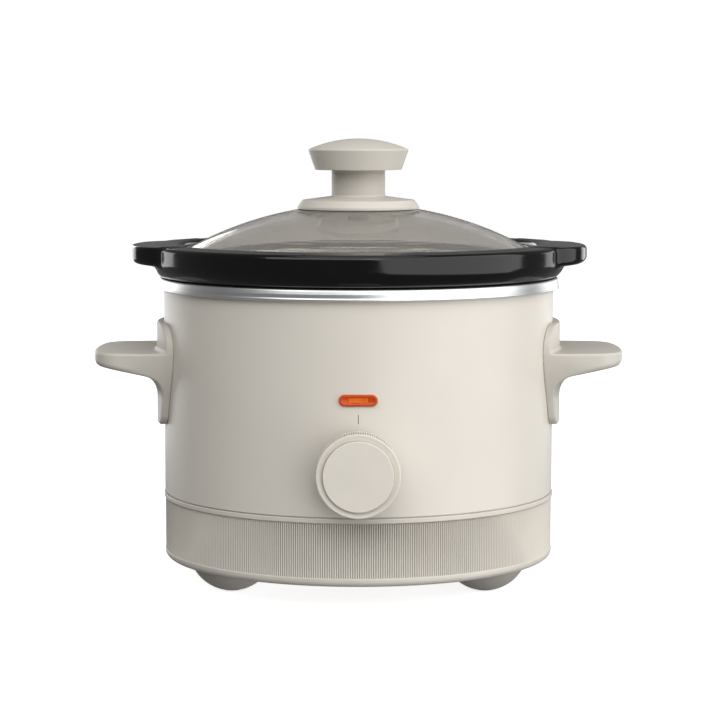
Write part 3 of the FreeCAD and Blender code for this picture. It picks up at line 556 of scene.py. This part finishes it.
# Side handles -----------------------------------------------------------------------------------
def round_max(a, b, r):
    """Where both a and b are below 0, with the edge between them rounded."""
    return np.minimum(-r, np.maximum(a, b)) + np.hypot(np.maximum(a + r, 0), np.maximum(b + r, 0))


def soft_max(a, b, k):
    """The larger of two, blended where they are within k of each other."""
    h = np.maximum(k - np.abs(a - b), 0) / k
    return np.maximum(a, b) + h * h * k / 4


def soft_min(a, b, k):
    """The smaller of two, blended where they are within k of each other."""
    return -soft_max(-a, -b, k)


def handle_field(x, y, z, low, high, shell_r):
    """Signed distance to a side handle that lies on the shell towards +X."""
    rho = np.hypot(x, y)
    side = np.abs(y)
    half, skin_r = high.y, shell_r + 3.5
    wing_top, wing_half, wing_tip, wing_corner = high.z - 13.7, half - 3.0, high.x - 4.3, 9.0
    root_t, under_r, under_slope = 11.8, 104.2, 0.215
    waist_z, run, rise = low.z + 31.2, 11.4, 31.2
    slant = (rise * (side - half) - run * (z - waist_z)) / math.hypot(run, rise)
    outline = round_max(soft_max(side - half, slant, 4.0), z - high.z, 12.5)
    outline = round_max(outline, low.z - z, 5.0)
    plate = round_max(rho - skin_r, outline, 1.0)
    bow = 136.6
    taper = 0.1 * np.clip(wing_tip - x, 0, 40)
    plan = round_max(side - wing_half - taper, np.hypot(x - high.x + bow, y) - bow, wing_corner)
    under = (wing_top - root_t + under_slope * (rho - under_r) - z) / 1.023
    wing = round_max(round_max(plan, z - wing_top, 1.2), under, 2.6)
    lower = np.clip((wing_top - 4.0 - z) / 4.0, 0, 1)
    both = soft_min(plate, wing, 2.0 + 8.0 * lower)
    both = soft_max(both, outline, 0.8)
    return np.maximum(both, shell_r + 0.05 - rho)


def side_handles():
    """One handle found from its field, and the same one mirrored."""
    low, high = span("right_handle")
    shell_r = span("outer_shell")[1].x

    def field(x, y, z):
        return handle_field(x, y, z, low, high, shell_r)

    reach, step = 3.0, 0.5
    verts, faces = nets(field, (low.x - reach, low.y - reach, low.z - reach),
                        (high.x + reach, high.y + reach, high.z + reach), step)
    dress(make("right_handle", verts, faces), "right_handle")
    dress(make("left_handle", verts * np.array([-1, 1, 1]), faces[:, ::-1]), "left_handle")


# Crock ------------------------------------------------------------------------------------------
def rim_field(x, y, z, rim_r, top, under):
    """Signed distance to the crock's rim outside its ledge."""
    rho = np.hypot(x, y)
    crest_r, crest_run, crest_drop = 92.0, 6.4, 0.8
    fall = top - crest_drop * np.clip((rho - crest_r) / crest_run, 0, 1)
    belly_r, belly_z, belly = rim_r - 9.9, under + 8.42, 9.95
    low = np.hypot(np.maximum(rho - belly_r, 0), z - belly_z) - belly
    wall = np.where(z < belly_z, np.maximum(low, rho - rim_r), rho - rim_r)
    return round_max(round_max(wall, z - fall, 2.4), under - z, 0.3)


def lug_field(x, y, z, reach, top):
    """Signed distance to the two lifting lugs."""
    out, side = np.abs(x), np.abs(y)
    tip_x, tip_half, flare, bow = 104.5, 32.0, 0.45, 78.7
    root_t, root_x, under_slope = 10.5, 80.0, 0.08
    flank = (side - tip_half - flare * (tip_x - out)) / math.hypot(1.0, flare)
    plan = round_max(flank, np.hypot(out - reach + bow, y) - bow, 7.0)
    under = top - root_t + under_slope * (out - root_x) - z
    return round_max(round_max(plan, z - top, 1.9), under, 2.8)


def crock():
    """The pot is turned; the rim and lugs are found along rays from a ring inside the rim."""
    low, high = span("crock")
    top, rim_r = high.z, high.y
    under = span("heating_liner")[1].z + 0.35
    quarter = np.concatenate([np.arange(0, 13, 0.75), np.arange(13, 26, 0.16),
                              np.arange(26, 90, 0.8)])
    half_turn = np.concatenate([quarter, [90.0], 180 - quarter[:0:-1]])
    angles = np.radians(np.concatenate([half_turn, half_turn + 180]))
    around = np.stack([np.cos(angles), np.sin(angles)], 1)

    def circle(r, h):
        if r < 1e-6:
            return np.array([[0.0, 0.0, h]])
        return np.column_stack([around * r, np.full(len(angles), h)])

    ledge_z, ledge_r = top - 9.5, 87.4
    in_top, in_low = 71.6, 67.0
    floor = low.z + 7.0
    inside = rounded([
        (0, floor), (in_low, floor, 14.0), (in_top, ledge_z, 4.0), (ledge_r, ledge_z, 1.0),
        (ledge_r, top, 2.2), (ledge_r + 3.0, top),
    ], closed=False, steps=8)
    rings = [circle(r, h) for r, h in supported(inside, closed=False, reach=0.3)]
    core_r, core_z, farthest, halvings = 92.0, top - 5.5, 24.0, 26
    lug_drop, lug_blend = 0.6, 2.4

    def field(r, z):
        x, y = r * around[:, 0], r * around[:, 1]
        rim = rim_field(x, y, z, rim_r, top, under)
        return soft_min(rim, lug_field(x, y, z, high.x, top - lug_drop), lug_blend)

    tilts = np.concatenate([np.arange(100, 44, -4.0), np.arange(44, -42, -0.75),
                            np.arange(-42, -64, -2.0), np.arange(-64, -74, -0.75),
                            np.arange(-74, -120, -4.0)])
    for tilt in np.radians(tilts):
        near, far = np.zeros(len(angles)), np.full(len(angles), farthest)
        for _ in range(halvings):
            middle = (near + far) / 2
            inner = field(core_r + middle * math.cos(tilt), core_z + middle * math.sin(tilt)) < 0
            near, far = np.where(inner, middle, near), np.where(inner, far, middle)
        r, z = core_r + near * math.cos(tilt), core_z + near * math.sin(tilt)
        rings.append(np.column_stack([around * r[:, None], z]))
    wall_top, wall_low, foot_r, foot_h = 79.0, 72.8, 48.0, 1.2
    outside = rounded([
        (wall_top + 5.0, under), (wall_top, under, 1.6), (wall_low, low.z, 16.0),
        (foot_r, low.z, 0.6), (foot_r - 2.0, low.z + foot_h, 0.6), (0, low.z + foot_h),
    ], closed=False, steps=8)
    rings += [circle(r, h) for r, h in supported(outside, closed=False, reach=0.3)]
    dress(skin("crock", rings, closed=False), "crock")


# Lid --------------------------------------------------------------------------------------------
GLASS_R, GLASS_Z, GLASS_T = 172.0, 11.66, 3.5
GLASS_BORE, GLASS_STEPS = 3.2, 40
SCREW_R = 2.3


def glass_top(r):
    """Height of the glass's upper face."""
    return arc_height(r, GLASS_R, GLASS_Z)


def glass_under(r):
    """Height of the glass's lower face."""
    return arc_height(r, GLASS_R - GLASS_T, GLASS_Z)


def lid():
    """The glass dome and the steel band on its edge."""
    edge = span("lid_glass")[1].x
    path = (dome(GLASS_R, GLASS_Z, GLASS_BORE, edge, GLASS_STEPS)
            + dome(GLASS_R - GLASS_T, GLASS_Z, edge, GLASS_BORE, GLASS_STEPS))
    dress(lathe("lid_glass", path, BODY_SEGMENTS), "lid_glass")
    low, high = span("lid_band")
    out, bottom, t = high.x, low.z, 0.5
    leg, skirt = 82.8, 81.4
    under = glass_under(skirt)
    path = rounded([
        (leg, glass_top(leg) + 0.06, 0.1), (leg, glass_top(leg) + t, 0.2),
        (out, high.z - 0.9, 1.0), (out, bottom, 1.1), (skirt - 0.45, bottom, 0.6),
        (skirt - 0.45, under - 2.2, 0.8), (skirt - 0.3, under - 0.9, 0.4), (skirt, under - 0.08),
        (skirt + t, glass_under(skirt + t) - 0.06),
        (skirt + t, bottom + t, 0.4), (out - t, bottom + t, 0.7),
        (out - t, glass_top(edge) - 0.7, 0.3), (edge, glass_top(edge) + 0.06, 0.1),
    ])
    dress(lathe("lid_band", path, BODY_SEGMENTS), "lid_band")


def lid_knob():
    """The collar with its neck, the cap on it, and the gasket and washer against the glass."""
    low, high = span("knob_collar")
    cap_low, cap_high = span("knob_cap")
    base_r, neck_r, spigot_r = high.x, 13.1, 8.0
    top, shelf = cap_low.z, 187.4
    well_r, well_low, roof, roof_r = 11.0, low.z + 2.4, 184.6, 25.8
    groove_r, seat_r, rim_r = neck_r - 0.22, roof_r + 1.0, base_r - 0.5
    shoulder_r, shoulder_z = 27.4, 185.7
    path = rounded([
        (SCREW_R, well_low), (well_r, well_low), (well_r, roof), (roof_r, roof - 0.6),
        (seat_r, glass_top(seat_r) + 0.42), (rim_r, glass_top(rim_r) + 0.2, 0.1),
        (base_r - 0.05, glass_top(base_r) + 0.25, 0.12), (base_r, low.z + 0.9, 0.5),
        (shoulder_r, shoulder_z, 1.4), (neck_r, shelf + 0.2, 0.9), (neck_r, top - 1.9, 0.1),
        (groove_r, top - 1.75, 0.1), (groove_r, top - 1.5, 0.1), (neck_r, top - 1.35, 0.1),
        (neck_r, top - 0.05, 0.15), (spigot_r, top - 0.05), (spigot_r, high.z), (SCREW_R, high.z),
    ])
    collar = dress(lathe("knob_collar", path, KNOB_SEGMENTS), "knob_collar")
    # Painted shadow: the neck under the cap gets a darker colour standing in for the cap's shadow.
    shade_faces(collar, lambda x, y, z: (np.hypot(x, y) < neck_r + 0.1) & (z > shelf), neck_painted_shadow)
    r, edge_z = cap_high.x, 210.2
    rise = cap_high.z - edge_z
    ball = (r * r + rise * rise) / (2 * rise)
    crown = cap_high.z - ball
    crown_path = [(q, arc_height(q, ball, crown)) for q in np.linspace(r - 0.9, 0.0, 16)]
    socket_r, socket_top, insert_r, insert_top, under_r = 8.1, top + 3.1, 3.6, top + 9.0, 21.1
    skirt = rounded([(socket_r, socket_top), (socket_r, top), (under_r, top, 0.35),
                     (r, edge_z - 0.15, 0.5), tuple(crown_path[0])], closed=False)
    path = [(0, insert_top), (insert_r, insert_top), (insert_r, socket_top)]
    path += skirt + crown_path[1:]
    dress(lathe("knob_cap", path, KNOB_SEGMENTS, closed=False), "knob_cap")
    gasket_in, gasket_out = seat_r + 0.1, span("knob_gasket")[1].x
    gasket_t, seam = 0.4, 0.02
    path = rounded([
        (gasket_in, glass_top(gasket_in) + seam), (gasket_in, glass_top(gasket_in) + gasket_t),
        (gasket_out, glass_top(gasket_out) + gasket_t, 0.12),
        (gasket_out, glass_top(gasket_out) + seam, 0.12),
    ])
    dress(lathe("knob_gasket", path, KNOB_SEGMENTS), "knob_gasket")
    washer_low, washer_high = span("knob_washer")
    w, seam = washer_high.x, 0.03
    path = rounded([
        (SCREW_R, washer_low.z), (w, washer_low.z, 0.5), (w, glass_under(w) - seam, 0.1),
        (w / 2, glass_under(w / 2) - seam), (SCREW_R, glass_under(SCREW_R) - seam),
    ])
    dress(lathe("knob_washer", path, WASHER_SEGMENTS), "knob_washer")


# Dial and pilot light ---------------------------------------------------------------------------
def dial():
    """The knob with its fine grips, and the disc in its face."""
    low, high = span("dial_knob")
    face_low, face_high = span("dial_face")
    centre_z = (low.z + high.z) / 2
    r = (high.z - low.z) / 2
    back, front, face = -high.y + 1.4, -low.y, -face_low.y
    face_r = (face_high.x - face_low.x) / 2

    def facing(radius, distance, angles):
        radius = np.broadcast_to(radius, angles.shape)
        return np.stack([radius * np.cos(angles), np.full(angles.shape, -distance),
                         centre_z + radius * np.sin(angles)], 1)

    grips, grip_depth, grip_points, grip_painted_shade, dish = 112, 0.5, 6, 0.25, 0.5
    plain_r, face_bore, inner_r = r - 0.05, face_r + 0.1, r - 2.0
    shaft_r, hub_r, hub_back, seat, web = 3.2, 6.2, back - 1.4, front - 1.4, front - 3.6
    path = rounded([
        (inner_r, back, 0.2), (plain_r, back, 0.3), (plain_r, back + 0.8), (r, back + 0.9),
        (r, front - 1.4), (plain_r, front - 1.3), (plain_r, front, 0.5), (r - 0.9, front, 0.3),
        (face_bore, front - dish), (face_bore, seat), (shaft_r, seat), (shaft_r, hub_back),
        (hub_r, hub_back), (hub_r, web), (inner_r, web),
    ])

    def grip(radius, _distance, angles):
        if radius < r - 0.001:
            return radius
        return radius - grip_depth * (1 - np.abs(np.sin(angles * grips / 2)))

    knob = lathe("dial_knob", path, grips * grip_points, ring=facing, wave=grip)
    dress(knob, "dial_knob")

    # Painted shade: the faces deep in the grips get a darker colour standing in for their shadow.
    def inside(x, y, z):
        deep = np.sin(np.arctan2(z - centre_z, x) * grips / 2) ** 2 < grip_painted_shade
        return deep & (np.hypot(x, z - centre_z) > r - 1.0) & (y < -back - 1.0) & (y > 1.5 - front)

    shade_faces(knob, inside, groove_painted_shade)
    path = rounded([(0, seat), (face_r, seat), (face_r, face, 0.45), (0, face)], closed=False)
    dress(lathe("dial_face", path, KNOB_SEGMENTS, closed=False, ring=facing), "dial_face")


def strip(name, half_w, z_low, z_high, near, far, steps=6):
    """A thin plate that follows the shell's curve at the front."""
    verts, faces = [], []
    for k in range(steps + 1):
        x = -half_w + 2 * half_w * k / steps
        for rad, z in ((near, z_low), (far, z_low), (far, z_high), (near, z_high)):
            verts.append((x, -math.sqrt(rad * rad - x * x), z))
    for k in range(steps):
        for i in range(4):
            j = (i + 1) % 4
            faces.append((4 * k + i, 4 * k + j, 4 * k + 4 + j, 4 * k + 4 + i))
    faces += [(3, 2, 1, 0), tuple(4 * steps + i for i in range(4))]
    return make(name, verts, faces)


def stadium_ring(length, height, z, y, n=16):
    """Points round a bar with round ends, in a plane that faces the front."""
    r, half = height / 2, (length - height) / 2
    points = []
    for side in (1, -1):
        for k in range(n + 1):
            a = side * math.pi / 2 - math.pi * k / n
            points.append((side * half + r * math.cos(a), y, z + r * math.sin(a)))
    return np.array(points)


def box_ring(width, height, z, y, corner=0.35, n=4):
    """Points round an oblong with round corners, in a plane that faces the front."""
    points = []
    for cx, cz, start in ((1, 1, 0), (-1, 1, 90), (-1, -1, 180), (1, -1, 270)):
        for k in range(n + 1):
            a = math.radians(start + 90 * k / n)
            points.append((cx * (width / 2 - corner) + corner * math.cos(a), y,
                           z + cz * (height / 2 - corner) + corner * math.sin(a)))
    return np.array(points)


def pilot_light():
    """The amber lens, the window in it, and the printed tick under it."""
    low, high = span("pilot_lens")
    z = (low.z + high.z) / 2
    front = low.y
    length, height, depth = 17.7, 5.4, 3.2
    window_w, window_h, window_depth = 8.6, 2.1, 1.0
    tick_half, tick_low, tick_high = 0.17, 87.3, 91.6
    rings = []
    for d, y in ((0.0, front + depth), (0.0, front + 0.75), (0.06, front + 0.42),
                 (0.22, front + 0.18), (0.5, front + 0.03), (0.75, front), (0.95, front),
                 (1.15, front + 0.12), (1.3, front + 0.3)):
        rings.append(stadium_ring(length - 2 * d, height - 2 * d, z, y))
    rings.append(np.array([[0.0, front + 0.34, z]]))
    back = np.array([[0.0, front + depth, z]])
    dress(skin("pilot_lens", [back] + rings, closed=False), "pilot_lens")
    rings = [np.array([[0.0, front + window_depth, z]])]
    for d, y in ((0.0, front + window_depth), (0.0, front + 0.22), (0.15, front + 0.1),
                 (0.4, front + 0.1), (0.55, front + 0.2), (0.7, front + 0.24)):
        rings.append(box_ring(window_w - 2 * d, window_h - 2 * d, z, y))
    rings.append(np.array([[0.0, front + 0.24, z]]))
    dress(skin("pilot_window", rings, closed=False), "pilot_lens", stands_for=False,
          look=window_amber)
    shell_r = span("outer_shell")[1].x
    tick = strip("tick_mark", tick_half, tick_low, tick_high, shell_r - 0.05, shell_r + 0.03)
    dress(tick, "outer_shell", stands_for=False, look=print_ink)


outer_shell()
base_pan()
base_floor()
feet()
heating_liner()
side_handles()
crock()
lid()
lid_knob()
dial()
pilot_light()


# Floor, light and camera ------------------------------------------------------------------------
def backdrop():
    """A pale bowl all round: a flat floor that curves up into a wall. It lights nothing."""
    floor_r, bend, tall, count, bend_steps = 3.0, 2.0, 6.0, 96, 16
    profile = [(0.0, 0.0), (0.5, 0.0), (1.2, 0.0), (2.0, 0.0), (floor_r, 0.0)]
    for k in range(1, bend_steps + 1):
        a = math.pi / 2 * k / bend_steps
        profile.append((floor_r + bend * math.sin(a), bend - bend * math.cos(a)))
    profile.append((floor_r + bend, tall))
    verts, faces = [(0.0, 0.0, 0.0)], []
    for r, z in profile[1:]:
        verts += [(r * math.cos(TURN * k / count), r * math.sin(TURN * k / count), z)
                  for k in range(count)]
    faces += [(0, 1 + k, 1 + (k + 1) % count) for k in range(count)]
    for i in range(len(profile) - 2):
        a, b = 1 + i * count, 1 + (i + 1) * count
        faces += [(a + k, b + k, b + (k + 1) % count, a + (k + 1) % count) for k in range(count)]
    mesh = bpy.data.meshes.new("backdrop")
    mesh.from_pydata(verts, [], faces)
    mesh.polygons.foreach_set("use_smooth", [True] * len(mesh.polygons))
    thing = bpy.data.objects.new("backdrop", mesh)
    bpy.context.scene.collection.objects.link(thing)
    paper = material("backdrop_paper", (0.90, 0.90, 0.90), 0.9, vary=0.004, grain=300.0,
                     grain_strength=0.02, specular=0.0, glow=((1, 1, 1), 0.80))
    mesh.materials.append(paper)
    thing.visible_diffuse = False
    thing.visible_glossy = False
    thing.visible_shadow = False


def soft_box(name, azimuth, elevation, distance, size, power):
    """A soft box that faces the object; the azimuth is from the front towards the right."""
    light = bpy.data.lights.new(name, "AREA")
    light.energy = power
    light.shape = "RECTANGLE"
    light.size, light.size_y = size
    thing = bpy.data.objects.new(name, light)
    turn, lift = math.radians(azimuth), math.radians(elevation)
    middle = (cad_low + cad_high) / 2
    way = Vector((math.sin(turn) * math.cos(lift), -math.cos(turn) * math.cos(lift),
                  math.sin(lift)))
    thing.location = middle + way * distance
    thing.rotation_euler = (-way).to_track_quat("-Z", "Y").to_euler()
    thing.visible_camera = False
    bpy.context.scene.collection.objects.link(thing)


def studio():
    """The backdrop, a weak even world light and the soft boxes."""
    backdrop()
    world = bpy.data.worlds.new("studio")
    world.use_nodes = True
    sky = world.node_tree.nodes["Background"]
    sky.inputs["Color"].default_value = (1.0, 1.0, 1.0, 1)
    sky.inputs["Strength"].default_value = 0.18
    bpy.context.scene.world = world
    soft_box("key", 55, 17, 1.5, (3.0, 2.7), 43.0)
    soft_box("front", -22, 40, 1.9, (2.0, 1.2), 18.0)
    soft_box("top", 0, 85, 1.5, (1.0, 1.0), 4.0)
    soft_box("back_left", 215, 4, 2.0, (1.8, 0.9), 11.0)
    soft_box("back_right", 140, 4, 2.0, (1.2, 0.9), 5.0)


def camera():
    """Eye a little above the rim, far back, looking slightly down."""
    aside, distance, height, pitch = 0.0003, 1.1789, 0.2232, 5.60
    lens = bpy.data.cameras.new("camera")
    lens.sensor_width = 36.0
    lens.lens = 120.95
    lens.clip_start, lens.clip_end = 0.05, 50.0
    eye = bpy.data.objects.new("camera", lens)
    eye.location = (aside, AXIS_Y - distance, height)
    eye.rotation_euler = (math.pi / 2 - math.radians(pitch), 0, 0)
    bpy.context.scene.collection.objects.link(eye)
    bpy.context.scene.camera = eye


studio()
camera()
bpy.context.scene.view_settings.view_transform = "Standard"
